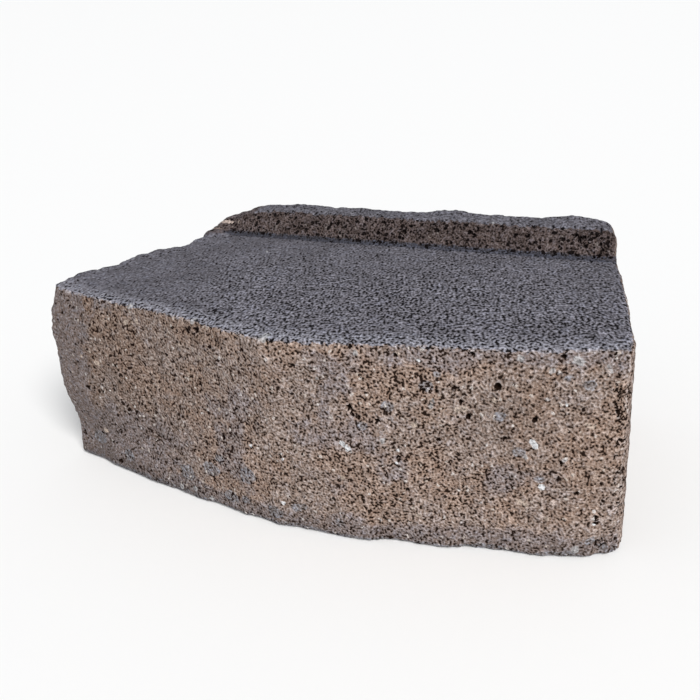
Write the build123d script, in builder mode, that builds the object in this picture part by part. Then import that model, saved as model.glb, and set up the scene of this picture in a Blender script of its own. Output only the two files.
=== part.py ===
from build123d import *
import os

# Concrete retaining-wall block, pressed and split as one piece.
# It is a tapered slab with a bowed split face at the front and a locating lip along the back.
# It lies on its flat bed with the lip upward. In a wall it is laid the other way up, so that
# the lip hangs behind the course below and sets each course back by the lip's thickness.
#
# Frame: millimetres, +Z up, +Y towards the back (the lip), -Y towards the split face.
# The origin is the centre of the footprint's box, on the bed.

# ---- driving dimensions -------------------------------------------------------------
face_width = 305.0        # split face, corner to corner (12 in)
body_height = 102.0       # bed to bed (4 in)
total_depth = 175.0       # front of the bow to the back (nominal 7 in)
bow = 30.0                # how far the split face bows out past its corners
bow_radius = 250.0        # the middle of the bow
bow_half = 50.0           # half the width of that middle arc
wing_depth = 10.0         # straight part of each side, right behind the split face
back_width = 244.0        # width at the back, after the sides have tapered

lip_height = 13.5         # how far the lip stands above the bed
lip_top = 20.0            # width of the lip's crest
lip_lean = 7.5            # run of the lip's sloping front, so that it leaves the mould
lip_root_radius = 4.0     # hollow where the lip meets the bed
lip_crest_radius = 2.5    # worn front edge of the crest
lip_end_radius = 6.0      # rounded ends of the crest

corner_radius = 6.0       # worn upright corners of the split face
back_corner_radius = 3.0  # upright corners at the back
edge_wear = 1.5           # broken edge round the bed that it lies on

# ---- places that follow from them ---------------------------------------------------
half_face = face_width / 2
half_back = back_width / 2
y_apex = -total_depth / 2
y_corner = y_apex + bow
y_back = total_depth / 2
y_wing = y_corner + wing_depth
y_crest = y_back - lip_top
y_root = y_crest - lip_lean
y_arc = y_apex + bow_radius - (bow_radius**2 - bow_half**2) ** 0.5

os.makedirs("parts", exist_ok=True)

# ---- the block ----------------------------------------------------------------------
with BuildPart() as wall_block:
    # Plan of the slab: bowed face, short straight wings, tapering sides, straight back.
    with BuildSketch(Plane.XY) as plan:
        with BuildLine():
            middle = ThreePointArc((-bow_half, y_arc), (0, y_apex), (bow_half, y_arc))
            right = TangentArc((bow_half, y_arc), (half_face, y_corner), tangent=middle % 1)
            right_side = Polyline((half_face, y_corner), (half_face, y_wing), (half_back, y_back))
            back = Line((half_back, y_back), (-half_back, y_back))
            left_side = Polyline((-half_back, y_back), (-half_face, y_wing), (-half_face, y_corner))
            left = TangentArc(
                (-bow_half, y_arc), (-half_face, y_corner), tangent=(middle % 0) * -1
            )
        make_face()
    extrude(amount=body_height)

    # The lip's section, drawn on the block's middle plane and run across the whole back.
    with BuildSketch(Plane.YZ) as lip_section:
        with BuildLine():
            Polyline(
                (y_root, body_height),
                (y_crest, body_height + lip_height),
                (y_back, body_height + lip_height),
                (y_back, body_height - 5.0),
                (y_root, body_height - 5.0),
                close=True,
            )
        make_face()
    extrude(amount=half_face, both=True)

    # The sides cut the lip to the slab's own taper.
    with BuildSketch(Plane.XY) as keep:
        with BuildLine():
            Polyline(
                (half_face, y_apex - 5.0),
                (half_face, y_wing),
                (half_back, y_back),
                (-half_back, y_back),
                (-half_face, y_wing),
                (-half_face, y_apex - 5.0),
                close=True,
            )
        make_face()
    extrude(amount=body_height + lip_height + 5.0, mode=Mode.INTERSECT)

    # Upright corners: worn at the split face, small at the back.
    front_corners = (
        wall_block.edges()
        .filter_by(Axis.Z)
        .filter_by(lambda e: abs(e.center().Y - y_corner) < 0.01 and abs(e.center().X) > half_face - 1.0)
    )
    fillet(front_corners, radius=corner_radius)
    back_corners = wall_block.edges().filter_by(Axis.Z).group_by(Axis.Y)[-1]
    fillet(back_corners, radius=back_corner_radius)

    # The hollow along the lip's root.
    root = (
        wall_block.edges()
        .filter_by(Axis.X)
        .filter_by(lambda e: abs(e.center().Z - body_height) < 0.01 and abs(e.center().Y - y_root) < 0.01)
    )
    fillet(root, radius=lip_root_radius)

    # Rounded ends of the crest, then its front edge.
    crest = wall_block.faces().filter_by(Axis.Z).sort_by(Axis.Z)[-1]
    ends = crest.edges().sort_by(Axis.X)
    fillet([ends[0], ends[-1]], radius=lip_end_radius)
    crest = wall_block.faces().filter_by(Axis.Z).sort_by(Axis.Z)[-1]
    fillet(crest.edges().filter_by(Axis.X).sort_by(Axis.Y)[0], radius=lip_crest_radius)

    # Broken edge round the bed that the block lies on.
    bed = wall_block.faces().filter_by(Axis.Z).sort_by(Axis.Z)[0]
    chamfer(bed.edges(), length=edge_wear)

wall_block.part.label = "wall_block"
export_step(wall_block.part, "parts/wall_block.step")

box = wall_block.part.bounding_box()
print("box", box.min, box.max)
print("volume", round(wall_block.part.volume), "solids", len(wall_block.part.solids()))
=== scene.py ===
import math

import bpy
import numpy as np
from mathutils import Matrix, Vector
from mathutils.kdtree import KDTree


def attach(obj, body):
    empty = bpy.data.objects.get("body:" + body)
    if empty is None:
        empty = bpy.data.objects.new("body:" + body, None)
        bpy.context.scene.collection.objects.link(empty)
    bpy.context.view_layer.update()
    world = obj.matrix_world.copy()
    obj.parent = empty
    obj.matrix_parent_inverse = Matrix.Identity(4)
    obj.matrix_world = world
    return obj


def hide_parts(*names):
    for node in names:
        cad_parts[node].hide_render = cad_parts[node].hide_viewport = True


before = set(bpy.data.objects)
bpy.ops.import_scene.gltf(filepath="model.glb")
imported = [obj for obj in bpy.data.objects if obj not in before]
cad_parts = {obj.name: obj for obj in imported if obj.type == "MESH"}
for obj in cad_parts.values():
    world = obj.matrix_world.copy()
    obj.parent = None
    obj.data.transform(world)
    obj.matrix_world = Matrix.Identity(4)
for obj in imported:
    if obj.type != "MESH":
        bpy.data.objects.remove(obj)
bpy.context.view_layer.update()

scene = bpy.context.scene

# Lengths below are in millimetres in the row's frame, and turn into metres when a mesh is written.
MM = 0.001
VOXEL = 0.85          # spacing of the dense mesh that is weathered
MOST_TRIANGLES = 197_000

# The slab and its lip, as the CAD has them.
HALF, HALF_BACK = 152.5, 122.0
APEX, CORNER, WING, BACK = -87.5, -57.5, -47.5, 87.5
BED, CREST = 102.0, 115.5
ROOT, LIP_TOP = 60.0, 67.5


# ------------------------------------------------------------------ small helpers
def smooth(lo, hi, v):
    t = np.clip((v - lo) / (hi - lo), 0.0, 1.0)
    return t * t * (3.0 - 2.0 * t)


def front_curve(x):
    """The CAD's split face in plan: y at x."""
    ax = np.abs(x)
    y_mid = APEX + 250.0 - np.sqrt(np.maximum(250.0**2 - np.minimum(ax, 50.0) ** 2, 0))
    y50 = APEX + 250.0 - math.sqrt(250.0**2 - 50.0**2)
    th = math.asin(50.0 / 250.0)
    chord = math.hypot(HALF - 50.0, CORNER - y50)
    turn = math.atan2(CORNER - y50, HALF - 50.0) - th
    r = chord / (2.0 * math.sin(turn))
    cx, cy = 50.0 - r * math.sin(th), y50 + r * math.cos(th)
    y_out = cy - np.sqrt(np.maximum(r * r - (np.minimum(ax, HALF) - cx) ** 2, 0))
    return np.where(ax <= 50.0, y_mid, y_out)


def side_curve(y):
    """Half the slab's width at y."""
    return np.where(y < WING, HALF, HALF - (HALF - HALF_BACK) * (y - WING) / (BACK - WING))


def hash01(ix, iy, iz, seed):
    """A repeatable random number in 0..1 for each whole-number cell."""
    h = (
        ix.astype(np.uint32) * np.uint32(374761393)
        + iy.astype(np.uint32) * np.uint32(668265263)
        + iz.astype(np.uint32) * np.uint32(2147483647 ^ 0x5bd1e995)
        + np.uint32((seed * 2246822519) & 0xFFFFFFFF)
    )
    h = (h ^ (h >> np.uint32(13))) * np.uint32(1274126177)
    h = (h ^ (h >> np.uint32(16))) * np.uint32(2654435761)
    h = h ^ (h >> np.uint32(15))
    return h.astype(np.float64) / 4294967295.0


def noise(p, size, seed=0, octaves=1, gain=0.5):
    """Smooth value noise from -1 to 1 at a feature size in mm."""
    out = np.zeros(len(p))
    amp, total = 1.0, 0.0
    for o in range(octaves):
        q = p / (size / 2**o) + 1000.0 + 17.3 * o
        i = np.floor(q).astype(np.int64)
        f = q - i
        f = f * f * f * (f * (f * 6 - 15) + 10)
        acc = np.zeros(len(p))
        for dx in (0, 1):
            wx = f[:, 0] if dx else 1 - f[:, 0]
            for dy in (0, 1):
                wy = f[:, 1] if dy else 1 - f[:, 1]
                for dz in (0, 1):
                    wz = f[:, 2] if dz else 1 - f[:, 2]
                    acc += wx * wy * wz * hash01(i[:, 0] + dx, i[:, 1] + dy, i[:, 2] + dz, seed + 31 * o)
        out += amp * (acc * 2 - 1)
        total += amp
        amp *= gain
    return out / total


# ------------------------------------------------------------------ node helper
class Tree:
    """Builds the same noise fields in a shader or in geometry nodes."""

    def __init__(self, nt):
        self.nt = nt

    def node(self, kind, **props):
        n = self.nt.nodes.new(kind)
        for k, v in props.items():
            setattr(n, k, v)
        return n

    def put(self, socket, value):
        if isinstance(value, bpy.types.NodeSocket):
            self.nt.links.new(value, socket)
        elif value is not None:
            socket.default_value = value

    def math(self, op, a, b=None, c=None, clamp=False):
        n = self.node("ShaderNodeMath", operation=op, use_clamp=clamp)
        for s, v in zip(n.inputs, (a, b, c)):
            self.put(s, v)
        return n.outputs[0]

    def vec(self, op, a, b=None, scale=None):
        n = self.node("ShaderNodeVectorMath", operation=op)
        self.put(n.inputs[0], a)
        if b is not None:
            self.put(n.inputs[1], b)
        if scale is not None:
            self.put(n.inputs["Scale"], scale)
        return n.outputs["Value"] if op in ("DOT_PRODUCT", "LENGTH", "DISTANCE") else n.outputs["Vector"]

    def range(self, v, a, b, c=0.0, d=1.0, kind="SMOOTHSTEP"):
        n = self.node("ShaderNodeMapRange", interpolation_type=kind, clamp=True)
        for s, x in zip(n.inputs[:5], (v, a, b, c, d)):
            self.put(s, x)
        return n.outputs[0]

    def noise(self, p, size, detail=2.0, rough=0.5, colour=False, lacunarity=2.0):
        n = self.node("ShaderNodeTexNoise")
        self.put(n.inputs["Vector"], p)
        n.inputs["Scale"].default_value = 1.0 / size
        n.inputs["Detail"].default_value = detail
        n.inputs["Roughness"].default_value = rough
        n.inputs["Lacunarity"].default_value = lacunarity
        return n.outputs["Color"] if colour else n.outputs[0]

    def voronoi(self, p, size, feature="F1", random=1.0):
        n = self.node("ShaderNodeTexVoronoi", feature=feature)
        self.put(n.inputs["Vector"], p)
        n.inputs["Scale"].default_value = 1.0 / size
        n.inputs["Randomness"].default_value = random
        return n

    def channel(self, colour, i):
        axis = [0.0, 0.0, 0.0]
        axis[i] = 1.0
        return self.vec("DOT_PRODUCT", colour, tuple(axis))

    def mix(self, f, a, b):
        n = self.node("ShaderNodeMix", data_type="RGBA", clamp_factor=True)
        self.put(n.inputs["Factor"], f)
        ins = [s for s in n.inputs if s.type == "RGBA"]
        self.put(ins[0], a)
        self.put(ins[1], b)
        return [s for s in n.outputs if s.type == "RGBA"][0]


def shared_fields(t, p):
    """Fields that shape the mesh and tint it alike. p is the place in millimetres."""
    n1 = t.noise(p, 3.0, 2.0, 0.6, colour=True)
    wobble = t.vec("SCALE", t.vec("SUBTRACT", n1, (0.5, 0.5, 0.5)), scale=5.0)
    w = t.vec("ADD", p, wobble)
    grain = t.voronoi(w, 3.6, "F1").outputs["Distance"]
    hole = t.voronoi(w, 7.5, "F1")
    big = t.voronoi(w, 17.0, "F1")
    return {
        "warp": w,
        "grain": grain,                                    # 0 in the middle of a grain, about 0.8 between grains
        "hole": hole.outputs["Distance"],
        "hole_id": t.channel(hole.outputs["Color"], 0),
        "hole_id2": t.channel(hole.outputs["Color"], 1),
        "big": big.outputs["Distance"],
        "big_id": t.channel(big.outputs["Color"], 0),
        "gate": t.noise(p, 9.0, 2.0, 0.5),
    }


def hole_depth(t, f, share):
    """1 in the middle of a void, 0 outside it. share is the part of the cells that hold a void."""
    r = t.range(f["hole_id"], t.math("SUBTRACT", 1.0, share), 1.0, 0.0, 0.20, "LINEAR")
    r = t.math("MULTIPLY", r, t.range(f["hole_id2"], 0.0, 1.0, 0.65, 1.35, "LINEAR"))
    inner = t.math("DIVIDE", f["hole"], t.math("MAXIMUM", r, 0.001))
    return t.math("MULTIPLY", t.range(inner, 1.15, 0.55), t.math("GREATER_THAN", r, 0.03))


# ------------------------------------------------------------------ the dense mesh
def mesh_arrays(me):
    co = np.empty(len(me.vertices) * 3, np.float32)
    me.vertices.foreach_get("co", co)
    return co.reshape(-1, 3).astype(np.float64)


def dense_block():
    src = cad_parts["wall_block"]
    me = src.data.copy()
    ob = bpy.data.objects.new("dense", me)
    scene.collection.objects.link(ob)
    m = ob.modifiers.new("remesh", "REMESH")
    m.mode = "VOXEL"
    m.voxel_size = VOXEL * MM
    m.adaptivity = 0.0
    dg = bpy.context.evaluated_depsgraph_get()
    out = bpy.data.meshes.new_from_object(ob.evaluated_get(dg))
    bpy.data.objects.remove(ob)
    return out


def macro_shape(p):
    """Bends the CAD's ideal block into the one in the photo. Returns new places in mm."""
    x, y, z = p[:, 0].copy(), p[:, 1].copy(), p[:, 2].copy()
    up = np.clip(z / BED, 0, 1)

    # Split face: how far each edge stands back from the ideal bow (+) or proud of it (-).
    xs = [-152, -146, -133, -107, -77, -47, -19, -5, 10, 41, 60, 87, 108, 128, 146, 152]
    top = [2.2, 2.0, 2.1, 2.4, 4.9, 4.5, 0.9, -2.0, -0.8, 1.2, 2.1, 0.3, -0.8, -0.1, 0.8, 1.0]
    low = [-0.6, -0.6, 0.4, 0.9, 0.4, 1.0, 0.8, 0.8, 0.4, 0.9, -0.7, 0.2, -2.2, -3.8, -3.0, -2.2]
    d_top, d_low = np.interp(x, xs, top), np.interp(x, xs, low)
    xf = [-133, -118, -101, -86, -70, -56, -42, -29, -17, -5, 6, 17, 30, 43, 47, 54, 60, 66, 75, 84, 93, 100, 108, 128, 140, 146, 152]
    fine = [0, -0.8, -0.9, -0.7, 0, -0.8, 0.8, 0, 0.7, -1.7, -0.1, -0.9, -2.1, -2.6, 0.6, 0.8, 0.9, -0.8, -1.6, -1.6, -1.2, -0.5, -0.2, -0.4, 0, 2.4, 2.4]
    face = d_top * up + d_low * (1 - up) + np.interp(x, xf, fine) * smooth(24, 5, z)
    belly = np.sin(np.pi * np.clip(z / BED, 0, 1))
    q = np.stack([x, np.zeros_like(x), z], 1)
    swell = noise(q, 62.0, 11) * 1.6 + noise(q, 30.0, 12) * 1.0
    face = face + belly * (swell - 0.6)
    left = smooth(-95, -150, x)
    face = face - 4.0 * left * smooth(12, 45, z) * smooth(100, 80, z)
    depth = np.maximum(y - front_curve(x), 0)
    y = y + face * smooth(48, 0, depth)

    # Left side: bulges near the split face, and its upper edge is broken away towards the back.
    sx = -1.0 * smooth(-60, -135, p[:, 0])
    zz = [-5, 2, 15, 30, 49, 70, 80, 88, 94, 102, 116]
    bulge = np.interp(p[:, 2], zz, [0.0, 0.7, 1.5, 1.3, 0.0, -1.2, -1.9, -2.6, -0.8, 0.8, 1.8])
    near = smooth(-10, -46, p[:, 1])
    inset = np.interp(p[:, 1], [-60, -36, -18, 0, 12, 33, 56, 75, 88], [0, 1.0, 1.8, 2.4, 5.0, 8.8, 9.8, 9.2, 8.0])
    inset = inset * (0.30 + 0.70 * smooth(35, 100, p[:, 2]))
    x = x + (-sx) * (bulge * near + inset * (1 - 0.5 * near))

    # Right side: nearly true, a little proud at the wing.
    rx = smooth(60, 140, p[:, 0])
    x = x + rx * np.interp(p[:, 1], [-60, -46, -30, 0, 30, 60, 88], [0.1, 0.2, 0.8, 1.8, 2.4, 2.6, 1.4])
    x = x + rx * np.interp(p[:, 2], [0, 20, 40, 60, 80, 96], [1.5, 1.4, 1.2, 0.8, 0.4, 0.0]) * smooth(-20, -48, p[:, 1])

    # The upper rim along the left side runs uneven.
    rim = np.interp(p[:, 1], [-57, -47, -37, -27, -16, -8, 3, 14, 24, 34, 44, 56], [0, 0.9, 1.7, 0.8, -0.8, -0.6, 0.5, 0.9, -0.5, -1.2, -0.7, 0])
    along = np.stack([np.zeros_like(x), p[:, 1], np.zeros_like(x)], 1)
    rim = rim + 0.8 * noise(along, 5.0, 61, 2)
    z = z + rim * smooth(14, 3, side_curve(p[:, 1]) + p[:, 0]) * smooth(86, 100, p[:, 2]) * smooth(58, 52, p[:, 1])
    x = x - sx * 1.3 * noise(along, 6.0, 63, 2) * smooth(90, 101, p[:, 2])

    # Lip: its left end has broken down to a slope, and the crest runs uneven.
    on_lip = smooth(BED + 0.5, CREST - 2.0, p[:, 2]) * smooth(ROOT - 3, ROOT + 2, p[:, 1])
    xr = [-135, -124, -118, -106, -95, -86, -70, 130]
    drop = np.interp(p[:, 0], xr, [12.5, 9.8, 7.2, 4.0, 1.6, 0.4, 0.0, 0.0])
    drop = drop - 2.4 * smooth(-115, -122, p[:, 0]) * smooth(82, 73, p[:, 1])
    share = np.clip((p[:, 2] - BED) / (CREST - BED), 0, 1)
    z = z - drop * share * smooth(ROOT - 4, ROOT + 1, p[:, 1])
    xc = [-90, -75, -60, -49, -30, -16, -2, 10, 18, 24, 36, 44, 54, 71, 83, 92, 99, 106, 113, 118, 124]
    rise = np.interp(p[:, 0], xc, [0.2, 0.3, 0.9, 0.5, 0.1, -0.1, -0.1, -0.4, 0.9, 2.0, 2.3, 1.2, 0.8, 0.7, 0.7, 1.6, 2.6, 2.7, 2.1, 1.0, 0.0])
    z = z + rise * on_lip * smooth(62, 86, p[:, 1])
    z = z + 2.7 * smooth(50, 56, p[:, 1]) * smooth(66, 59, p[:, 1]) * smooth(-108, -121, p[:, 0]) * smooth(90, 101, p[:, 2])

    # The lip's foot reaches forward of the ideal one.
    foot = smooth(CREST, BED + 1.0, p[:, 2]) * smooth(BED - 30, BED - 4, p[:, 2])
    y = y - 3.0 * foot * smooth(36, 56, p[:, 1]) * smooth(80, 66, p[:, 1])
    return np.stack([x, y, z], 1)


def surface_distances(p):
    """How deep each place lies behind each face of the ideal block, in mm."""
    x, y, z = p[:, 0], p[:, 1], p[:, 2]
    slope = 0.25
    front = (y - front_curve(x)) / math.sqrt(1 + slope * slope)
    side_l = (side_curve(y) + x) * 0.975
    side_r = (side_curve(y) - x) * 0.975
    bed = np.where((z < BED + 0.9) & (y < ROOT + 1.0), np.abs(BED - z), 60.0)
    lean = math.atan2(CREST - BED, LIP_TOP - ROOT)
    lip = np.abs((y - ROOT) * math.sin(lean) - (z - BED) * math.cos(lean))
    lip = np.where((z > BED + 0.9) & (y > ROOT - 5), lip, 60.0)
    return {
        "front": front, "left": side_l, "right": side_r, "top": bed, "low": z,
        "back": BACK - y, "crest": np.where(y > ROOT + 2.0, CREST - z, 60.0), "lip": lip,
    }


# ------------------------------------------------------------------ fields read at the vertices
def read_fields(me, names):
    """Evaluates the shared fields at every vertex of me, whose coordinates are in metres."""
    ng = bpy.data.node_groups.new("fields", "GeometryNodeTree")
    ng.interface.new_socket(name="Geometry", in_out="INPUT", socket_type="NodeSocketGeometry")
    ng.interface.new_socket(name="Geometry", in_out="OUTPUT", socket_type="NodeSocketGeometry")
    t = Tree(ng)
    gin, gout = t.node("NodeGroupInput"), t.node("NodeGroupOutput")
    p = t.vec("SCALE", t.node("GeometryNodeInputPosition").outputs[0], scale=1000.0)
    f = shared_fields(t, p)
    values = {
        "grain": f["grain"], "gate": f["gate"], "big": f["big"], "big_id": f["big_id"],
        "hole_lo": hole_depth(t, f, 0.22), "hole_hi": hole_depth(t, f, 0.42),
    }
    g = gin.outputs[0]
    for name in names:
        st = t.node("GeometryNodeStoreNamedAttribute", data_type="FLOAT", domain="POINT")
        t.nt.links.new(g, st.inputs["Geometry"])
        st.inputs["Name"].default_value = "f_" + name
        t.put(st.inputs["Value"], values[name])
        g = st.outputs["Geometry"]
    t.nt.links.new(g, gout.inputs[0])
    ob = bpy.data.objects.new("fields", me)
    scene.collection.objects.link(ob)
    m = ob.modifiers.new("fields", "NODES")
    m.node_group = ng
    dg = bpy.context.evaluated_depsgraph_get()
    ev = ob.evaluated_get(dg)
    out = ev.to_mesh()
    got = {}
    for name in names:
        a = np.empty(len(out.vertices), np.float32)
        out.attributes["f_" + name].data.foreach_get("value", a)
        got[name] = a.astype(np.float64)
    ev.to_mesh_clear()
    bpy.data.objects.remove(ob)
    bpy.data.node_groups.remove(ng)
    return got


def set_places(me, p):
    me.vertices.foreach_set("co", (p * MM).astype(np.float32).ravel())
    me.update()


def vertex_normals(me):
    n = np.empty(len(me.vertices) * 3, np.float32)
    me.vertex_normals.foreach_get("vector", n)
    return n.reshape(-1, 3).astype(np.float64)


FACES = ("front", "left", "right", "top", "low", "back", "crest", "lip")
#            mid   small grain hole  fine
RELIEF = {
    "front": (1.00, 0.50, 0.45, 1.50, 0.30),
    "left":  (0.45, 0.30, 0.40, 1.50, 0.22),
    "right": (0.45, 0.30, 0.40, 1.50, 0.22),
    "back":  (0.35, 0.25, 0.38, 1.50, 0.20),
    "top":   (0.15, 0.16, 0.34, 1.30, 0.16),
    "low":   (0.12, 0.12, 0.28, 1.20, 0.14),
    "crest": (0.45, 0.60, 0.40, 1.30, 0.30),
    "lip":   (0.30, 0.32, 0.48, 1.80, 0.26),
}
# Stone chips, larger holes and grey areas that stand out: x, y, z, radius and, for a long one, its stretch along x.
BRIGHT_CHIPS = [
    (-110.9, 65.9, 106.3, 1.3, 4.0),
    (31.5, -85.3, 52.4, 1.4), (33.8, -85.1, 49.9, 1.4), (115.7, -70.9, 60, 1.3), (116.9, -70.7, 57.9, 1.3),
    (120.3, -69.7, 36.9, 1.5), (129, -66.3, 77.6, 0.66), (57.7, -82, 51.6, 0.78), (56.7, -82.3, 45, 0.74),
    (66.8, -77.6, 95.8, 0.78), (-1.3, -87.6, 14.2, 1), (-17.6, -85.8, 42.6, 0.98), (0.6, -87.5, 39.4, 0.82),
    (142.8, -63.2, 18.3, 0.76),
]
DULL_CHIPS = [
    (131.5, -63.6, 98.1, 1.8), (133, -63.3, 96.8, 1.6), (109.4, -70.1, 98.3, 1.6), (122, -67, 93.3, 1.4),
    (144, -59.8, 95.3, 1.1), (145.2, -59.5, 92.4, 0.87), (120.7, -68.4, 80.4, 1.1), (113, -71.6, 52.3, 1.1),
    (129, -67.8, 51.6, 1.2), (135.6, -65.7, 5.1, 1.9), (50.8, -83.1, 55.9, 1.3), (72.1, -78.1, 74.6, 1.3),
    (73, -77.9, 77, 0.97), (39.4, -83.4, 97.9, 1.2), (21.6, -86.6, 84.8, 0.81), (48, -82.9, 12.1, 0.77),
    (-3.2, -87.2, 102.1, 2), (-47.2, -77.6, 101.4, 1.3), (-90.9, -69, 101.9, 1.5), (-68.6, -77.9, 4.1, 1.4),
    (-58.1, -79.8, 6.5, 1.5), (-47.7, -81.9, 3.4, 1.4), (93.6, -73.7, 26.3, 0.75), (-63.8, 28.8, 102, 0.95),
    (60.5, 68.7, 115.2, 0.92),
]
BEIGE_CHIPS = [
    (83.5, -75.7, 73.1, 1.5), (86.3, -75.2, 73.5, 1.5), (139.9, -62.9, 67.1, 1.1), (137.4, -63.9, 68.5, 0.98),
    (111, -71.6, 28.8, 1.4), (113.7, -71.2, 27.6, 1.2), (65.1, -80.1, 64.9, 1.4), (30.7, -86.3, 34, 1.2),
    (65.9, -80.1, 17.4, 1.2), (-46.2, -79, 82.8, 1.2), (-58.8, -75.9, 86.9, 1.1), (-53.8, -77.7, 69.6, 0.81),
    (-55.4, -77.2, 72.1, 0.81), (-120.3, -67.8, 65.6, 1.2), (-118.3, -68, 64.8, 1), (-131, -66.4, 67.5, 0.9),
    (-94.5, -69.7, 92.6, 1.4), (-86.7, -70.8, 94.1, 1.4), (-124.4, -65.3, 22.6, 1.7), (-36.2, -81.6, 57.4, 1.1),
    (57.6, -79.1, 98.2, 0.96), (122.8, -69.3, 20.7, 1), (99.3, -73.1, 78.8, 1.1), (-101.7, 64.6, 107.5, 0.84),
]
GREY_AREAS = [
    (5.1, -87.6, 13, 2.5), (8.7, -87.6, 13.9, 2.2), (27.7, -85.6, 8.7, 2.3), (129, -65.3, 89.8, 1.7),
    (125.1, -66.2, 92.5, 1.5), (101.5, -72.9, 71.5, 2.2), (41.2, -84, 62.4, 2.3), (52.5, -82, 73, 2.5),
    (69.5, -78, 83.9, 2.6), (74.7, -76.7, 89.8, 1.7), (-131.6, -63, 15.4, 4.2), (-38.6, -83.3, 29.4, 2.6),
    (110.2, -72.1, 54.6, 2.2), (137.5, -62.6, 86.4, 2.6), (-24.1, -86, 10.3, 2.6), (141.4, -63.8, 9.6, 2.4),
    (-107.2, -68.8, 11.5, 3.4), (119.3, -70, 40.9, 1.6), (147.0, -60.0, 5.0, 2.6),
    (-46, -82, 21, 4.6), (-21, -86.3, 25, 4.0), (-63, -79, 14, 4.4), (-6, -87.6, 8, 3.6), (-33, -84, 9, 4.0),
]
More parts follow.
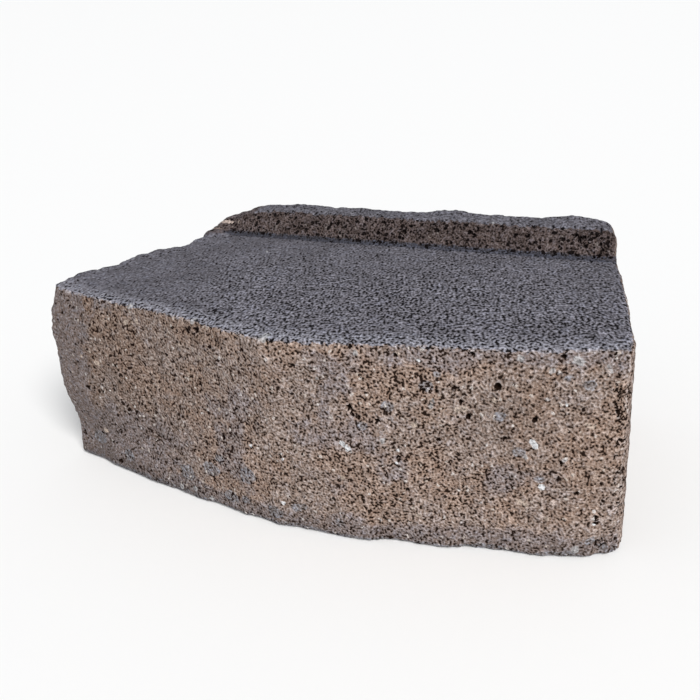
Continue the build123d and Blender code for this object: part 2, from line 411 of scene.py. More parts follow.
HOLES = [
    (100.4, -72.7, 85.1, 1.5), (-45.4, -79.2, 97.4, 1.4), (35.3, -84.7, 70.8, 1.2), (36.7, -84.5, 66.9, 0.77),
    (39.6, -84.1, 66.3, 0.86), (48.3, -83.1, 65.5, 1), (57.4, -82.1, 47.8, 1), (-101, -70.5, 41.3, 1.2),
    (-111.2, -68.2, 25.5, 1.1), (-145.1, -60.1, 14.5, 1.4), (116.3, -70.2, 70.5, 1.1), (84.8, -75.5, 76.9, 0.97),
    (88.2, -74.8, 70, 1.1), (135.1, -65.7, 34.5, 1), (126.5, -65.1, 99.1, 1.1), (56.5, -79.4, 97.4, 0.96),
    (37.3, -83.2, 100.8, 0.96), (10.5, -87.9, 90.3, 0.86), (1, -88.4, 101.5, 0.9), (-16.8, -86.5, 93.6, 0.84),
    (-115.2, -66.9, 5.3, 1.2), (-47.4, -79, 68.1, 1), (-130.5, -66.7, 48.8, 1.3), (-25, -83.8, 60.5, 0.88),
    (89.2, -73.8, 99.3, 0.86), (86.4, -73.6, 101.4, 0.69), (-36.9, -81.9, 91, 0.87), (-91.4, -70.9, 81.1, 0.85),
    (75.2, -77.9, 57.4, 0.81), (103.9, -72.8, 60.6, 0.89), (135.5, -64.1, 75.1, 0.71), (128, -68.1, 50, 0.81),
    (-34.9, -82.8, 42.5, 0.96), (-36.7, -81.4, 61.4, 0.84), (-84, -72.7, 53.5, 0.96), (61.2, -81.6, 31, 0.94),
    (74.3, -77.3, 81.6, 0.88), (68.8, -78.3, 81.7, 0.88), (107.1, 65.6, 112.2, 0.88), (109.7, 65.3, 111.6, 0.96),
    (112.3, 65.2, 111.5, 0.72), (116.9, 65.4, 111.8, 0.88), (118.1, 65.7, 112.3, 0.72), (99.3, 67.8, 115.1, 0.8),
    (83.4, 68.5, 115.1, 0.8), (81.1, 64.8, 110.5, 0.96), (74.8, 64.8, 110.6, 0.8), (88.9, 61.5, 104.9, 0.96),
    (113.3, 62.8, 107.1, 0.96), (118.3, 59, 102.5, 0.88), (120.8, 60.3, 103.4, 0.96), (122.5, 62, 105.7, 0.88),
    (125, 63.2, 107.7, 0.8), (124.6, 64.7, 110.3, 0.72), (121, 63.6, 108.5, 0.72), (109.8, 64.3, 109.7, 0.8),
    (48.6, 64.8, 110.6, 0.88), (51, 64.2, 109.5, 0.74), (52.9, 66, 112.7, 0.8), (29.5, 64.6, 110.2, 0.88),
    (26.6, 66.3, 113.6, 0.75), (25.2, 57.3, 102.1, 0.88), (21, 59.4, 102.7, 0.74), (56.6, 57.3, 102.1, 0.73),
    (72, 57.8, 102.2, 0.73), (78.4, 57.8, 102.2, 0.72), (96, 60.4, 103.5, 0.8), (101.3, 59.7, 102.9, 0.72),
    (104.9, 60.6, 103.6, 0.72), (109.1, 59.5, 102.8, 0.8), (-61.7, 63.2, 107.8, 0.79), (-58.1, 62.6, 106.6, 0.79),
    (-37.9, 64.5, 110.1, 0.88), (-33.1, 64.8, 110.7, 0.88), (-18, 61.9, 105.6, 0.77), (-6.1, 62.7, 107, 1),
    (-4, 66, 112.8, 0.77), (7.7, 61.7, 105.2, 0.96), (7.1, 64.5, 110.1, 0.96), (10.3, 63.5, 108.3, 0.96),
    (12.7, 65.5, 112, 1), (9.9, 61.5, 104.7, 0.75), (-16.9, 59.1, 102.6, 0.88), (-7.4, 57.5, 102.1, 0.76),
    (-3.5, 58.9, 102.4, 0.76), (5.2, 47.8, 102, 0.81), (-10.9, 33.4, 101.9, 0.91), (-43.1, 30.8, 102, 0.82),
    (48.1, 31.5, 102, 0.98), (-69.6, 67, 114.2, 0.8), (44.7, 70.3, 115.4, 0.7), (148, -58.3, 95.7, 0.54),
    (148.5, -58.3, 93.7, 0.54), (148.2, -58.5, 91.1, 0.49), (147.8, -59, 86.1, 0.46), (147.9, -59, 84, 0.54),
    (151.5, -56.6, 84.8, 0.5), (151, -57.2, 83.7, 0.42), (149.2, -58.6, 82.1, 0.54), (152.5, -55.1, 81.2, 0.5),
    (151.5, -56.9, 79.5, 0.47), (147.9, -59.4, 77.7, 0.63), (148.6, -59.1, 79.1, 0.5), (148.9, -59.2, 74.1, 0.93),
    (150.5, -58.2, 75.8, 0.47), (149.7, -59.1, 70.4, 0.64), (150.4, -58.6, 69.2, 0.47), (150.1, -59.1, 65.2, 0.38),
    (150.4, -59.2, 60.1, 1.07), (152.1, -57.6, 59.7, 0.56), (150, -59.6, 58.2, 0.73), (149.7, -60, 52.5, 0.95),
    (153.1, -56.5, 46.4, 0.52), (151.2, -59.2, 44, 0.74), (152.2, -58.2, 43.7, 0.48), (149.7, -60.2, 41.6, 0.52),
    (153.5, -55.9, 39.4, 0.58), (144.9, -62.2, 39.3, 0.62), (152.2, -58.4, 36.6, 0.62), (151.9, -59, 28.8, 0.63),
    (153, -57.7, 26, 0.67), (145.6, -62.3, 30.6, 0.66), (145.5, -62.4, 28.2, 0.53), (143.5, -63.3, 21.9, 0.81),
    (143.3, -63.4, 18.9, 0.77), (145, -62.6, 19.1, 0.59), (144.7, -62, 8.6, 0.86), (144.4, -62.1, 6.6, 0.73),
    (147.7, -59.8, 5.9, 0.83), (146.5, -60.8, 9.8, 0.55), (152.2, -57.3, 8.6, 0.69), (144.5, -59.2, 99.2, 0.58),
    (146.4, -58.4, 100.9, 0.49), (141.4, -60.4, 97.5, 0.46),
]
HIGH_HOLES = {"front": 0.5, "left": 0.7, "right": 0.7, "back": 0.6, "top": 0.35, "low": 0.3, "crest": 0.2, "lip": 1.0}


def inward(face, p):
    n = np.zeros_like(p)
    lean = math.atan2(CREST - BED, LIP_TOP - ROOT)
    if face == "front":
        s = (front_curve(p[:, 0] + 0.5) - front_curve(p[:, 0] - 0.5))
        k = np.sqrt(1 + s * s)
        n[:, 0], n[:, 1] = -s / k, 1 / k
    elif face in ("left", "right"):
        side = 1.0 if face == "left" else -1.0
        behind = p[:, 1] > WING
        n[:, 0] = side * np.where(behind, 0.975, 1.0)
        n[:, 1] = np.where(behind, -0.22, 0.0)
    elif face in ("top", "crest"):
        n[:, 2] = -1
    elif face == "low":
        n[:, 2] = 1
    elif face == "back":
        n[:, 1] = -1
    else:
        n[:, 1], n[:, 2] = math.sin(lean), -math.cos(lean)
    return n


def spot_normals(spots):
    """Which way is inward at each spot."""
    at = np.array([s[:3] for s in spots])
    on = np.where(at[:, 1] < -52, 0, np.where(at[:, 1] > ROOT - 4, np.where(at[:, 2] > 114.5, 1, 2), 3))
    n = np.zeros_like(at)
    for i, face in enumerate(("front", "crest", "lip", "top")):
        n[on == i] = inward(face, at)[on == i]
    return n


def near_spots(p, spots):
    """For each spot: its radius, the places near it, and how far they lie from it along the face."""
    for (cx, cy, cz, r, *more), n in zip(spots, spot_normals(spots)):
        reach = 4.0 + 2.0 * r * (more[0] if more else 1.0)
        at = np.nonzero((np.abs(p[:, 0] - cx) < reach) & (np.abs(p[:, 2] - cz) < 7.0) & (np.abs(p[:, 1] - cy) < 7.0))[0]
        v = (p[at] - np.array([cx, cy, cz])) / np.array([more[0] if more else 1.0, 1.0, 1.0])
        v -= 0.8 * (v @ n)[:, None] * n
        yield r, at, np.linalg.norm(v, axis=1)


def weather(me, ideal):
    """Shapes the dense mesh in place. Returns the places before the fine relief, and the distances to the faces."""
    d = surface_distances(ideal)
    stack = np.stack([d[k] for k in FACES], 1)
    rest = macro_shape(ideal)
    set_places(me, rest)
    normal = vertex_normals(me)
    f = read_fields(me, ["grain", "gate", "big", "big_id", "hole_lo", "hole_hi"])

    w = np.exp(-np.clip(stack, 0, 40) / 0.9)
    w /= w.sum(1, keepdims=True)
    amp = w @ np.array([RELIEF[k] for k in FACES])
    high = w @ np.array([HIGH_HOLES[k] for k in FACES])
    front = w[:, 0]

    mid = noise(rest, 24.0, 3, 2)
    small = noise(rest, 7.5, 5, 2)
    fine = noise(rest, 2.3, 7, 1)
    grain = np.clip(1.0 - (f["grain"] / 0.85) ** 2, -0.2, 1.0) - 0.6
    hole = f["hole_lo"] * (1 - high) + f["hole_hi"] * high
    scab = np.where(f["big_id"] > 0.72, smooth(0.42, 0.30, f["big"]), 0) * front
    h = (
        amp[:, 0] * mid
        + amp[:, 1] * small
        + amp[:, 2] * grain * (0.45 + 0.9 * smooth(0.35, 0.65, f["gate"]))
        - amp[:, 3] * hole
        + amp[:, 4] * fine
        + 0.8 * scab
    )
    for r, at, d_hole in near_spots(rest, HOLES):
        h[at] -= min(2.2 * r, 2.4) * smooth(1.25 * r, 0.45 * r, d_hole)
    for r, at, d_chip in near_spots(rest, BRIGHT_CHIPS + DULL_CHIPS + BEIGE_CHIPS):
        h[at] += 0.35 * smooth(1.3 * r, 0.8 * r, d_chip)
    p = rest + normal * h[:, None]

    # Worn and chipped rims: wherever two faces meet, the corner between them is taken down.
    order = np.argsort(stack, 1)[:, :3]
    rows = np.arange(len(p))
    da, db, dc = (np.maximum(stack[rows, order[:, k]], 0) for k in (0, 1, 2))
    chip = smooth(0.18, 0.75, noise(rest, 15.0, 21, 1)) * 3.6
    crumb = noise(rest, 5.5, 23, 2)
    nick = noise(rest, 2.4, 25, 1)
    r = 0.7 + 0.6 * chip + 1.2 * crumb + 0.8 * nick
    a_is, b_is = order[:, 0], order[:, 1]
    ft = {FACES[i]: (a_is == i) | (b_is == i) for i in range(len(FACES))}
    r = np.where(ft["front"] & ft["top"], 0.9 + 0.55 * chip + 1.2 * crumb + 0.9 * nick, r)
    r = np.where(ft["front"] & ft["low"], 0.5 * chip + 1.2 * crumb + 0.9 * nick, r)
    r = np.where(ft["crest"] & ft["lip"], 1.2 + 0.6 * chip + 1.2 * crumb + 0.6 * nick, r)
    r = np.where(ft["crest"] & ft["back"], 0.2 + 0.4 * chip + 1.0 * crumb + 0.6 * nick, r)
    cut = np.clip(r - (da + db), 0, None)
    normals = {k: inward(k, ideal) for k in FACES}
    table = np.stack([normals[k] for k in FACES], 1)
    p = p + 0.5 * cut[:, None] * (table[rows, a_is] + table[rows, b_is])
    corner = np.clip(2.2 * r + 0.5 - (da + db + dc), 0, None)
    p = p + 0.22 * corner[:, None] * (table[rows, a_is] + table[rows, b_is] + table[rows, order[:, 2]])

    # It still stands flat: nothing reaches below the bed.
    p[:, 2] = np.maximum(p[:, 2], 0.0)
    set_places(me, p)
    return rest, stack, p


def areas(p):
    """Slow changes over the block, 0..1: mauve, cool grey, and calm (few voids)."""
    x, y, z = p[:, 0], p[:, 1], p[:, 2]
    on_face = smooth(14.0, 6.0, y - front_curve(x))
    n = noise(p, 30.0, 51, 2)
    n2 = noise(p, 16.0, 53, 2)
    strip = smooth(-120, -135, x + 7 * n2)
    low_left = smooth(-40, -90, x + 14 * n) * smooth(52, 30, z + 10 * n2 - 0.12 * (x + 90))
    foot = smooth(17, 8, z + 5 * n2)
    mauve = on_face * np.maximum(np.maximum(0.9 * strip, 0.9 * low_left), 0.75 * foot)
    mauve = np.maximum(mauve, on_face * 0.70 * smooth(0.05, 0.5, n + 0.3 * n2))
    mauve = np.maximum(mauve, on_face * 0.75 * smooth(10, 70, x) * smooth(89, 98, z + 7 * n2))
    cool = np.zeros(len(p))
    for cx, cy, cz, r in GREY_AREAS:
        d = np.linalg.norm((p - np.array([cx, cy, cz])) * np.array([0.8, 1.0, 1.0]), axis=1)
        cool = np.maximum(cool, smooth(1.5 * r, 0.5 * r, d + 0.6 * n2))
    # Along the foot of the split face a cool grey band: the bed's grey wrapped round the lower rim, and painted shade
    # there.
    cool = np.maximum(cool, on_face * 0.9 * smooth(4.5, 1.5, z + 2.0 * n2))
    calm_face = np.maximum(0.60 * smooth(-112, -134, x + 6 * n2), 0.30 * low_left * smooth(-60, -110, x))
    calm_bed = smooth(-30, 50, y + 20 * n) * (0.55 + 0.45 * smooth(60, -80, x))
    calm_bed = np.maximum(calm_bed, 0.85 * smooth(-30, -105, x + 10 * n))
    calm_bed = np.where(y > ROOT, 0.80 * smooth(110.0, 113.0, z), calm_bed * smooth(95.0, 100.0, z))
    calm = calm_face * on_face + calm_bed * (1 - on_face)
    return np.stack([mauve, cool, calm], 1)


def face_tone(p):
    """Darker and paler parts of the split face, as a factor."""
    x, y, z = p[:, 0], p[:, 1], p[:, 2]
    on_face = smooth(14.0, 6.0, y - front_curve(x))
    browner = np.exp(-(((x - 107) / 15) ** 2) - ((z - 73) / 21) ** 2)
    paler = np.exp(-(((x - 95) / 26) ** 2) - ((z - 24) / 15) ** 2)
    return 1 + on_face * (0.10 * paler - 0.19 * browner)


def to_spots(p, spots):
    """The way from the nearest spot's middle to each place, and that spot's radius and number."""
    at = np.array([s[:3] for s in spots])
    size = np.array([s[3] for s in spots])
    stretch = np.array([[s[4] if len(s) > 4 else 1.0, 1.0, 1.0] for s in spots])
    n = spot_normals(spots)
    best = np.full(len(p), 1e9)
    which = np.zeros(len(p), np.int64)
    for i in range(len(spots)):
        d = np.linalg.norm((p - at[i]) / stretch[i], axis=1) - size[i]
        nearer = d < best
        best[nearer] = d[nearer]
        which[nearer] = i
    way = (p - at[which]) / stretch[which]
    way -= 0.8 * (way * n[which]).sum(1, keepdims=True) * n[which]
    far = best > 2.4
    way[far] *= (30.0 / np.maximum(np.linalg.norm(way[far], axis=1), 0.01))[:, None]
    return way, size[which], which


def thinned(me):
    """The same mesh with fewer triangles, kept where the relief needs them."""
    ob = bpy.data.objects.new("thin", me)
    scene.collection.objects.link(ob)
    tri = ob.modifiers.new("tri", "TRIANGULATE")
    dec = ob.modifiers.new("dec", "DECIMATE")
    dec.decimate_type = "COLLAPSE"
    dec.use_collapse_triangulate = True
    dec.ratio = min(1.0, MOST_TRIANGLES / (2.0 * len(me.polygons)))
    dg = bpy.context.evaluated_depsgraph_get()
    out = bpy.data.meshes.new_from_object(ob.evaluated_get(dg))
    bpy.data.objects.remove(ob)
    return out


# ------------------------------------------------------------------ charts of the UV map
def add_charts(me, ideal, rest):
    tri = np.empty(len(me.polygons) * 3, np.int32)
    me.loops.foreach_get("vertex_index", tri)
    tri = tri.reshape(-1, 3)
    mid = ideal[tri].mean(1)
    d = surface_distances(mid)
    stack = np.abs(np.stack([d[k] for k in FACES], 1))
    face = np.argmin(stack, 1)
    p = rest[tri]
    x, y, z = p[..., 0], p[..., 1], p[..., 2]
    # face: (u, v, left edge, lower edge, scale), in mm on a sheet SIDE wide
    k = 0.75
    lay = {
        "top": (x + 157, y + 93, 2, 2, 1.0),
        "front": (x + 157, z + 2, 2, 160, 1.0),
        "lip": (x + 140, (y - ROOT) * 0.49 + (z - BED) * 0.88 + 6, 2, 270, 1.0),
        "crest": (x + 140, y - 62, 2, 294, 1.0),
        "low": (y + 93, x + 157, 320, 2, k),
        "back": (z + 2, x + 130, 320, 242, k),
        "left": (y + 62, z + 2, 2, 326, k),
        "right": (y + 62, z + 2, 124, 326, k),
    }
    side = 460.0
    uv = np.zeros((len(tri), 3, 2))
    for i, name in enumerate(FACES):
        u, v, u0, v0, s = lay[name]
        m = face == i
        uv[m, :, 0] = (u[m] * s + u0) / side
        uv[m, :, 1] = (v[m] * s + v0) / side
    layer = me.uv_layers.new(name="OFBake")
    layer.data.foreach_set("uv", uv.reshape(-1).astype(np.float32))
    me.uv_layers.active = layer


def add_attribute(me, name, values, kind="FLOAT"):
    a = me.attributes.new(name, kind, "POINT")
    a.data.foreach_set("value" if kind == "FLOAT" else "vector", values.astype(np.float32).ravel())


def make_block():
    me = dense_block()
    ideal = mesh_arrays(me) / MM
    rest, stack, final = weather(me, ideal)
    moved = final - rest
    thin = thinned(me)
    places = mesh_arrays(thin) / MM

    tree = KDTree(len(final))
    for i, c in enumerate(final):
        tree.insert(c, i)
    tree.balance()
    near = np.empty((len(places), 3), np.int64)
    weight = np.empty((len(places), 3))
    for i, c in enumerate(places):
        found = tree.find_n(c, 3)
        for k in range(3):
            near[i, k] = found[k][1]
            weight[i, k] = 1.0 / (found[k][2] + 0.05)
    weight /= weight.sum(1, keepdims=True)

    def carried(a):
        return (a[near] * weight.reshape(weight.shape + (1,) * (a.ndim - 1))).sum(1)

    rest_thin = places - carried(moved)
    ideal_thin = carried(ideal)
    faces = carried(np.clip(stack, -20, 60))

    def edge(*names):
        """Above 0 on those faces and below 0 off them, in mm from their rim."""
        on = [FACES.index(n) for n in names]
        off = [i for i in range(len(FACES)) if i not in on]
        return np.clip(faces[:, off].min(1) - faces[:, on].min(1), -20, 20)

    add_attribute(thin, "rest", rest_thin, "FLOAT_VECTOR")
    add_attribute(thin, "e_front", edge("front"))
    add_attribute(thin, "e_bed", edge("top", "low", "crest"))
    add_attribute(thin, "e_lip", edge("lip"))
    add_attribute(thin, "e_side", edge("left", "right", "back"))
    add_attribute(thin, "areas", areas(rest_thin), "FLOAT_VECTOR")
    add_attribute(thin, "face_tone", face_tone(rest_thin))
    for name, spots in (
        ("hole", HOLES), ("bright", BRIGHT_CHIPS), ("dull", DULL_CHIPS), ("beige", BEIGE_CHIPS),
    ):
        way, size, which = to_spots(rest_thin, spots)
        add_attribute(thin, name + "_way", way, "FLOAT_VECTOR")
        add_attribute(thin, name + "_size", size)
    add_charts(thin, ideal_thin, rest_thin)
    for poly in thin.polygons:
        poly.use_smooth = True
    thin.name = "wall_block_weathered"
    block = bpy.data.objects.new("weathered_block", thin)
    scene.collection.objects.link(block)
    print("triangles", len(thin.polygons), "box", places.min(0).round(1), places.max(0).round(1))
    return block


block = make_block()
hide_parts("wall_block")
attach(block, "root")


# ------------------------------------------------------------------ concrete
def concrete():
    mat = bpy.data.materials.new("concrete")
    mat.use_nodes = True
    nt = mat.node_tree
    nt.nodes.clear()
    t = Tree(nt)
    out = t.node("ShaderNodeOutputMaterial")
    bsdf = t.node("ShaderNodeBsdfPrincipled")
    nt.links.new(bsdf.outputs[0], out.inputs["Surface"])

    def attribute(name, vector=False):
        n = t.node("ShaderNodeAttribute", attribute_name=name)
        return n.outputs["Vector"] if vector else n.outputs["Fac"]

    p = attribute("rest", True)
    f = shared_fields(t, p)
    e_front, e_bed, e_lip, e_side = (attribute("e_" + name) for name in ("front", "bed", "lip", "side"))
    x, y, z = (t.channel(p, i) for i in range(3))
    area_now = attribute("areas", True)
    mauve, cool, calm = (t.channel(area_now, i) for i in range(3))

    # Which face it is, with a ragged border.
    ragged = t.math("MULTIPLY", t.math("SUBTRACT", t.noise(p, 2.6, 3.0, 0.65), 0.5), 7.0)
    is_front = t.range(t.math("ADD", e_front, ragged), -0.4, 0.4)
    is_bed = t.range(t.math("ADD", e_bed, ragged), -0.4, 0.4)
    is_lip = t.range(t.math("ADD", e_lip, ragged), -0.4, 0.4)
    is_side = t.range(t.math("ADD", e_side, ragged), -0.4, 0.4)
    calm = t.math("MULTIPLY", calm, t.math("SUBTRACT", 1.0, is_lip))
    by_lip = t.math("MULTIPLY", t.math("GREATER_THAN", y, 45.0), t.math("GREATER_THAN", z, 100.5))
    # The crease at the foot of the lip, where painted shade goes: a dark blue grey with more pits and no pale grains.
    root = t.math("MULTIPLY", t.range(t.math("ADD", y, t.math("MULTIPLY", ragged, 0.3)), 53.6, 55.2), t.range(t.math("ADD", z, t.math("MULTIPLY", ragged, 0.4)), 104.6, 103.4))
    root = t.math("MULTIPLY", root, t.math("MULTIPLY", t.math("LESS_THAN", y, 63.0), t.range(z, 97.0, 100.5)))

    # The pressed beds are dragged a little towards the back and the left, so their grain is longer that way.
    slant = math.radians(21.0)
    dragged = t.node("ShaderNodeCombineXYZ")
    t.put(dragged.inputs[0], t.vec("DOT_PRODUCT", p, (0.88 * math.cos(slant), 0.88 * math.sin(slant), 0.0)))
    t.put(dragged.inputs[1], t.vec("DOT_PRODUCT", p, (-0.55 * math.sin(slant), 0.55 * math.cos(slant), 0.0)))
    t.put(dragged.inputs[2], z)
    drawn = t.math("MULTIPLY", t.math("GREATER_THAN", e_side, 0.0), t.math("GREATER_THAN", t.math("ADD", y, t.math("MULTIPLY", ragged, 1.5)), -44.0))
    q = t.mix(drawn, p, t.vec("MULTIPLY", p, (1.0, 1.0, 0.6)))
    q = t.mix(t.math("GREATER_THAN", e_bed, 0.0), q, dragged.outputs[0])
    shake = t.vec("SCALE", t.vec("SUBTRACT", t.noise(q, 1.6, 0.0, 0.5, colour=True), (0.5, 0.5, 0.5)), scale=1.5)
    qw = t.vec("ADD", q, shake)

    # One height for the sandy surface, with a mean of 0 and a spread of about 1.
    sand = t.voronoi(qw, 2.1, "F1")
    sand_id = sand.outputs["Color"]
    tiny = t.noise(q, 1.12, 0.0, 0.5)
    speck = t.noise(q, 0.6, 0.0, 0.5)
    mid = t.noise(p, 7.0, 2.0, 0.6)
    wide = t.noise(p, 26.0, 3.0, 0.6)
    h = t.math("MULTIPLY", t.math("SUBTRACT", tiny, 0.5), 7.2)
    h = t.math("ADD", h, t.math("MULTIPLY", t.math("SUBTRACT", 0.52, sand.outputs["Distance"]), 1.7))
    coarse = t.math("ADD", t.math("MULTIPLY", t.math("SUBTRACT", 0.52, f["grain"]), 0.9), t.math("MULTIPLY", t.math("SUBTRACT", mid, 0.5), 1.4))
    h = t.math("ADD", h, t.math("MULTIPLY", coarse, t.math("SUBTRACT", 1.0, t.math("MULTIPLY", is_bed, 0.5))))

    # Listed chips and holes, with an uneven outline.
    bend = t.vec("SCALE", t.vec("SUBTRACT", t.noise(p, 1.7, 1.0, 0.5, colour=True), (0.5, 0.5, 0.5)), scale=3.2)

    def spot(name, outer, inner, bent=1.0):
        way = t.vec("ADD", attribute(name + "_way", True), t.vec("SCALE", bend, scale=bent))
        n = t.node("ShaderNodeVectorMath", operation="LENGTH")
        t.put(n.inputs[0], way)
        return t.range(t.math("SUBTRACT", n.outputs["Value"], attribute(name + "_size")), outer, inner)

    bright_chip = spot("bright", 0.22, -0.18, 0.45)
    dull_chip = spot("dull", 0.35, -0.40, 0.7)
    beige_chip = spot("beige", 0.40, -0.35, 0.7)
    listed_hole = spot("hole", 0.35, -0.05, 0.8)
    chip = t.math("MAXIMUM", bright_chip, t.math("MULTIPLY", t.math("MAXIMUM", dull_chip, beige_chip), 0.8))

    # Pits: round ones in some of the cells, most of them on the moulded faces.
    cell = t.voronoi(t.vec("ADD", qw, (41.0, 13.0, 7.0)), 2.9, "F1")
    share = t.math("ADD", t.channel(cell.outputs["Color"], 0), t.math("MULTIPLY", is_lip, 0.29))
    share = t.math("ADD", share, t.math("MULTIPLY", is_bed, 0.04))
    share = t.math("ADD", share, t.math("MULTIPLY", root, 0.20))
    share = t.math("SUBTRACT", share, t.math("MULTIPLY", calm, 0.30))
    share = t.math("SUBTRACT", share, t.math("MULTIPLY", is_front, t.range(x, 80.0, 125.0, 0.0, 0.08)))
    pit_r = t.range(share, 0.62, 1.30, 0.12, 0.40, "LINEAR")
    larger = t.math("MAXIMUM", t.math("MULTIPLY", is_lip, 0.22), t.math("MULTIPLY", is_front, t.range(x, 10.0, -100.0, 0.0, 0.55)))
    pit_r = t.math("MULTIPLY", pit_r, t.math("ADD", 1.0, larger))
    pit = t.range(t.math("SUBTRACT", cell.outputs["Distance"], pit_r), 0.05, -0.05)
    pit = t.math("MULTIPLY", pit, t.math("GREATER_THAN", share, 0.62))

    # Voids: the lowest parts of the height, and the larger holes that the mesh has. With the pits they make the mask
    # where painted shade inside recesses goes.
    many = t.math("MAXIMUM", is_lip, t.math("MULTIPLY", is_front, 0.35))
    hole = t.math(
        "ADD",
        t.math("MULTIPLY", hole_depth(t, f, 0.22), t.math("SUBTRACT", 1.0, many)),
        t.math("MULTIPLY", hole_depth(t, f, 0.42), many),
    )
    hole = t.math("MAXIMUM", hole, listed_hole)
    level = t.math("SUBTRACT", -1.27, t.math("MULTIPLY", is_lip, t.range(x, 10.0, 60.0, 0.32, 0.42)))
    level = t.math("ADD", level, t.math("MULTIPLY", t.math("SUBTRACT", 0.5, wide), 2.2))
    level = t.math("ADD", level, t.math("MULTIPLY", is_bed, 0.16))
    level = t.math("ADD", level, t.math("MULTIPLY", t.math("SUBTRACT", t.range(x, -110.0, 60.0, -0.34, 0.09, "LINEAR"), t.range(x, 80.0, 120.0, 0.0, 0.32)), is_front))
    level = t.math("SUBTRACT", level, t.math("MULTIPLY", calm, 0.75))
    void = t.range(t.math("SUBTRACT", h, level), 0.14, -0.14)
    dark = t.math("MULTIPLY", t.math("MAXIMUM", void, pit), t.math("SUBTRACT", 0.96, t.math("MULTIPLY", chip, 0.96)))
    dark = t.math("MAXIMUM", dark, hole)

    # Split face: tan paste with browner, mauve and cool grey areas, and painted shade towards its left end and along
    # its foot.
    face = t.mix(t.range(wide, 0.44, 0.58), (0.258, 0.187, 0.149, 1), (0.268, 0.210, 0.181, 1))
    soft = t.math("MULTIPLY", t.math("SUBTRACT", mid, 0.5), 1.2)
    face = t.mix(t.range(t.math("ADD", mauve, soft), 0.25, 0.75), face, (0.226, 0.185, 0.174, 1))
    face = t.mix(t.math("MULTIPLY", t.range(t.math("ADD", cool, soft), 0.35, 0.65), 0.75), face, (0.212, 0.206, 0.218, 1))
    # Painted shade: the split face is darker towards its left end; face_tone brings its own darker and paler parts.
    face = t.vec("SCALE", face, scale=t.math("MULTIPLY", t.range(x, -150.0, 10.0, 0.74, 1.0), attribute("face_tone")))
    # Painted shade: darker towards the foot of the split face.
    face = t.vec("SCALE", face, scale=t.range(t.math("ADD", z, t.math("MULTIPLY", ragged, 0.8)), 4.0, 13.0, 0.80, 1.0))
    # Beds: cool grey, paler in scuffed areas and along the split.
    bed = t.mix(t.range(wide, 0.42, 0.60), (0.124, 0.121, 0.137, 1), (0.144, 0.142, 0.162, 1))
    bed = t.vec("SCALE", bed, scale=t.range(calm, 0.0, 1.0, 1.03, 0.84, "LINEAR"))
    bed = t.mix(t.math("MULTIPLY", t.range(t.math("ADD", e_front, t.math("MULTIPLY", ragged, 0.8)), -17.0, -3.0), 0.78), bed, (0.232, 0.234, 0.262, 1))
    # Lip front, sides and back: dull brown grey.
    side = t.mix(t.range(wide, 0.42, 0.60), (0.236, 0.176, 0.147, 1), (0.276, 0.212, 0.180, 1))
    side = t.vec("SCALE", side, scale=t.range(y, -54.0, -34.0, 1.0, 0.74))
    lip = t.mix(t.range(mid, 0.40, 0.60), (0.072, 0.054, 0.051, 1), (0.093, 0.071, 0.067, 1))
    base = t.mix(by_lip, face, lip)
    base = t.mix(is_side, base, side)
    base = t.mix(is_front, base, face)
    base = t.mix(is_lip, base, lip)
    broken = t.math("MULTIPLY", by_lip, t.range(t.math("ADD", x, ragged), -90.0, -95.0))
    broken = t.math("MULTIPLY", broken, t.range(t.math("ADD", z, t.math("MULTIPLY", ragged, 0.3)), 103.0, 104.5))
    flank = t.math("MULTIPLY", t.range(t.math("ADD", x, t.math("MULTIPLY", ragged, 0.5)), -114.0, -116.5), t.range(y, 47.0, 52.0))
    flank = t.math("MULTIPLY", flank, t.math("MULTIPLY", t.math("LESS_THAN", y, 70.0), t.math("GREATER_THAN", z, 100.5)))
    broken = t.math("MAXIMUM", broken, flank)
    base = t.mix(t.math("MULTIPLY", is_bed, t.math("SUBTRACT", 1.0, t.math("MULTIPLY", broken, 0.85))), base, bed)
    # Painted shade in the crease at the foot of the lip: dark blue grey, darker towards the left.
    base = t.mix(t.math("MULTIPLY", t.math("MULTIPLY", root, 0.90), t.math("SUBTRACT", 1.0, flank)), base, t.vec("SCALE", (0.045, 0.047, 0.061), scale=t.range(x, -60.0, 20.0, 0.76, 1.0)))

    # Scuffed rims are paler.
    rim = t.math("MULTIPLY", t.range(t.math("ABSOLUTE", t.math("ADD", e_front, t.math("MULTIPLY", ragged, 0.4))), 1.6, 0.2), t.range(mid, 0.42, 0.58))
    base = t.mix(t.math("MULTIPLY", rim, 0.45), base, (0.400, 0.345, 0.320, 1))

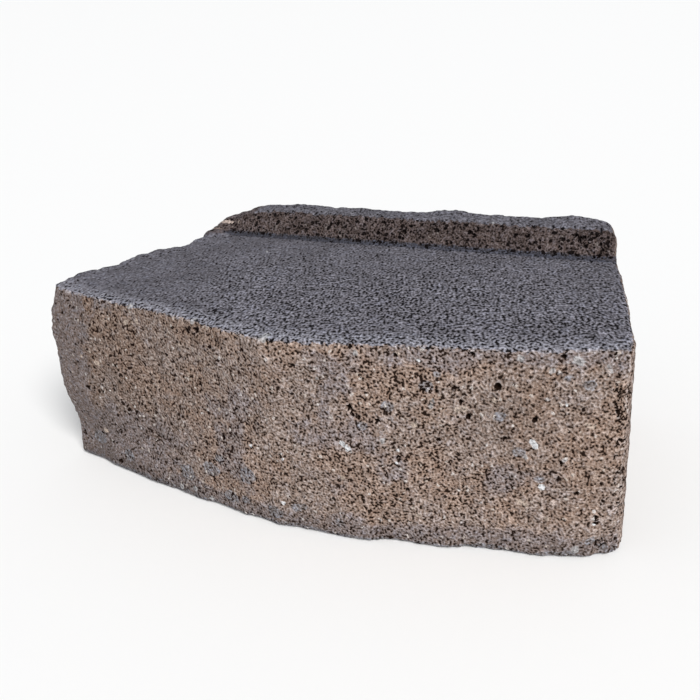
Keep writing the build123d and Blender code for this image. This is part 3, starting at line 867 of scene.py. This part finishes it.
    # Tone and tint of single grains, and the sand on them. Low spots of the height come out darker: partly the grains'
    # own tone, partly painted shade in the low spots.
    gain = t.math("SUBTRACT", t.range(is_lip, 0.0, 1.0, 1.0, 1.10, "LINEAR"), t.math("MULTIPLY", calm, 0.60))
    gain = t.math("MULTIPLY", gain, t.range(is_bed, 0.0, 1.0, 1.0, 1.42, "LINEAR"))
    scuff = t.math("MULTIPLY", t.math("MULTIPLY", is_bed, t.math("LESS_THAN", y, 40.0)), t.range(t.math("ADD", e_front, t.math("MULTIPLY", ragged, 2.0)), -19.0, -6.0))
    gain = t.math("MULTIPLY", gain, t.math("SUBTRACT", 1.0, t.math("MULTIPLY", scuff, 0.18)))
    tone = t.range(t.math("MULTIPLY", h, gain), -1.5, 2.4, 0.36, 1.86, "LINEAR")
    tone = t.math("MULTIPLY", tone, t.range(speck, 0.25, 0.75, 0.80, 1.20, "LINEAR"))
    tone = t.math("MULTIPLY", tone, t.range(t.channel(sand_id, 1), 0.0, 1.0, 0.84, 1.16, "LINEAR"))
    col = t.vec("SCALE", base, scale=tone)
    low_tint = t.mix(is_bed, (1.10, 0.96, 0.86, 1), (1.02, 0.96, 0.98, 1))
    high_tint = t.mix(is_bed, (0.95, 1.00, 1.06, 1), (0.99, 0.985, 1.02, 1))
    col = t.vec("MULTIPLY", col, t.mix(t.range(h, -1.3, 1.3, 0.0, 1.0, "LINEAR"), low_tint, high_tint))
    blue = t.math("MULTIPLY", t.range(t.channel(sand_id, 0), 0.62, 0.95), t.range(is_bed, 0.0, 1.0, 0.26, 0.12, "LINEAR"))
    col = t.mix(blue, col, t.vec("MULTIPLY", col, (0.86, 1.0, 1.24)))

    # Pale sand grains and the listed chips.
    pale = t.math("MULTIPLY", t.math("GREATER_THAN", t.channel(sand_id, 2), 0.945), t.math("SUBTRACT", 1.0, t.math("MAXIMUM", root, t.math("MULTIPLY", calm, 0.6))))
    pale = t.math("MULTIPLY", pale, t.range(sand.outputs["Distance"], 0.48, 0.28))
    pale_col = t.mix(t.channel(sand_id, 0), (0.46, 0.39, 0.34, 1), (0.66, 0.62, 0.60, 1))
    pale_col = t.mix(is_bed, pale_col, (0.27, 0.27, 0.30, 1))
    pale_col = t.mix(is_lip, pale_col, (0.20, 0.17, 0.16, 1))
    col = t.mix(t.math("MULTIPLY", pale, 0.8), col, pale_col)
    shade = t.range(tiny, 0.3, 0.7, 0.70, 1.25, "LINEAR")
    col = t.mix(t.math("MULTIPLY", dull_chip, 0.62), col, t.vec("SCALE", (0.42, 0.42, 0.43), scale=shade))
    col = t.mix(t.math("MULTIPLY", beige_chip, 0.70), col, t.vec("SCALE", (0.50, 0.41, 0.345), scale=shade))
    col = t.mix(t.math("MULTIPLY", bright_chip, 0.88), col, t.vec("SCALE", t.mix(t.range(x, -106.0, -104.0), (0.52, 0.42, 0.37, 1), (0.64, 0.65, 0.67, 1)), scale=shade))

    # Painted shade: pits and voids are coloured near black, as the shade inside them.
    painted_pit_shade = t.mix(is_bed, (0.013, 0.007, 0.005, 1), (0.008, 0.007, 0.008, 1))
    painted_pit_shade = t.mix(is_lip, painted_pit_shade, (0.006, 0.004, 0.004, 1))
    col = t.mix(dark, col, painted_pit_shade)
    nt.links.new(col, bsdf.inputs["Base Color"])

    rough = t.range(tiny, 0.3, 0.7, 0.80, 0.97, "LINEAR")
    rough = t.math("SUBTRACT", rough, t.math("MULTIPLY", t.math("MAXIMUM", pale, bright_chip), 0.2))
    nt.links.new(rough, bsdf.inputs["Roughness"])
    nt.links.new(t.range(dark, 0.0, 1.0, 0.25, 0.02), bsdf.inputs["Specular IOR Level"])

    # Bump: what is too fine for the mesh.
    height = t.math("MULTIPLY", t.range(t.math("MULTIPLY", h, gain), -2.0, 2.2, -0.5, 0.5, "LINEAR"), 0.8)
    height = t.math("ADD", height, t.math("MULTIPLY", t.math("SUBTRACT", speck, 0.5), 0.35))
    bump = t.node("ShaderNodeBump")
    bump.inputs["Strength"].default_value = 1.0
    bump.inputs["Distance"].default_value = MM
    nt.links.new(height, bump.inputs["Height"])
    nt.links.new(bump.outputs[0], bsdf.inputs["Normal"])
    return mat


block.data.materials.clear()
block.data.materials.append(concrete())


# ------------------------------------------------------------------ floor, light and camera
def plain(name, colour, rough=0.9):
    m = bpy.data.materials.new(name)
    m.use_nodes = True
    b = m.node_tree.nodes["Principled BSDF"]
    b.inputs["Base Color"].default_value = (*colour, 1)
    b.inputs["Roughness"].default_value = rough
    b.inputs["Specular IOR Level"].default_value = 0.2
    return m


def make_floor():
    s = 12.0
    me = bpy.data.meshes.new("floor")
    me.from_pydata([(-s, -s, -0.0004), (s, -s, -0.0004), (s, s, -0.0004), (-s, s, -0.0004)], [], [(0, 1, 2, 3)])
    ob = bpy.data.objects.new("floor", me)
    me.materials.append(plain("floor", (0.90, 0.90, 0.90)))
    scene.collection.objects.link(ob)


def sun(name, toward, strength, spread, colour=(1, 1, 1)):
    """A large soft lamp far away, in the direction `toward` from the block."""
    data = bpy.data.lights.new(name, "SUN")
    data.energy = strength
    data.angle = math.radians(spread)
    data.color = colour
    ob = bpy.data.objects.new(name, data)
    ob.location = Vector(toward) * 3.0
    ob.rotation_mode = "QUATERNION"
    ob.rotation_quaternion = Vector(toward).to_track_quat("Z", "Y")
    scene.collection.objects.link(ob)


make_floor()
sun("key", (0.52, -0.52, 0.68), 3.1, 24, (1.0, 0.985, 0.96))

world = bpy.data.worlds.new("world")
scene.world = world
world.use_nodes = True
wn = world.node_tree
wn.nodes.clear()
w_out = wn.nodes.new("ShaderNodeOutputWorld")
w_mix = wn.nodes.new("ShaderNodeMixShader")
w_light = wn.nodes.new("ShaderNodeBackground")
w_seen = wn.nodes.new("ShaderNodeBackground")
w_path = wn.nodes.new("ShaderNodeLightPath")
w_light.inputs[0].default_value = (0.93, 0.96, 1.0, 1)
w_light.inputs[1].default_value = 0.46
w_seen.inputs[0].default_value = (1, 1, 1, 1)
w_seen.inputs[1].default_value = 1.0
wn.links.new(w_path.outputs["Is Camera Ray"], w_mix.inputs[0])
wn.links.new(w_light.outputs[0], w_mix.inputs[1])
wn.links.new(w_seen.outputs[0], w_mix.inputs[2])
wn.links.new(w_mix.outputs[0], w_out.inputs["Surface"])

scene.view_settings.view_transform = "Standard"
scene.view_settings.look = "None"
scene.view_settings.exposure = 0.0
scene.view_settings.gamma = 1.0

YAW, PITCH, ROLL = math.radians(25.27), math.radians(24.43), math.radians(-3.65)
FOCAL, CENTRE_X, CENTRE_Y = 887.63, 339.16, 362.99     # of a picture 700 wide and high
back = Vector((math.sin(YAW) * math.cos(PITCH), -math.cos(YAW) * math.cos(PITCH), math.sin(PITCH)))
right = (-back).cross(Vector((0, 0, 1))).normalized()
upward = right.cross(-back)
cam_x = right * math.cos(ROLL) + upward * math.sin(ROLL)
cam_y = upward * math.cos(ROLL) - right * math.sin(ROLL)
cam_data = bpy.data.cameras.new("camera")
cam = bpy.data.objects.new("camera", cam_data)
scene.collection.objects.link(cam)
cam.matrix_world = Matrix((
    (cam_x.x, cam_y.x, back.x, 0.18472),
    (cam_x.y, cam_y.y, back.y, -0.40817),
    (cam_x.z, cam_y.z, back.z, 0.25529),
    (0, 0, 0, 1),
))
cam_data.sensor_width = 36.0
cam_data.lens = FOCAL * 36.0 / 700.0
cam_data.shift_x = (350.0 - CENTRE_X) / 700.0
cam_data.shift_y = (CENTRE_Y - 350.0) / 700.0
cam_data.clip_start, cam_data.clip_end = 0.01, 60.0
cam_data.dof.use_dof = False
scene.camera = cam
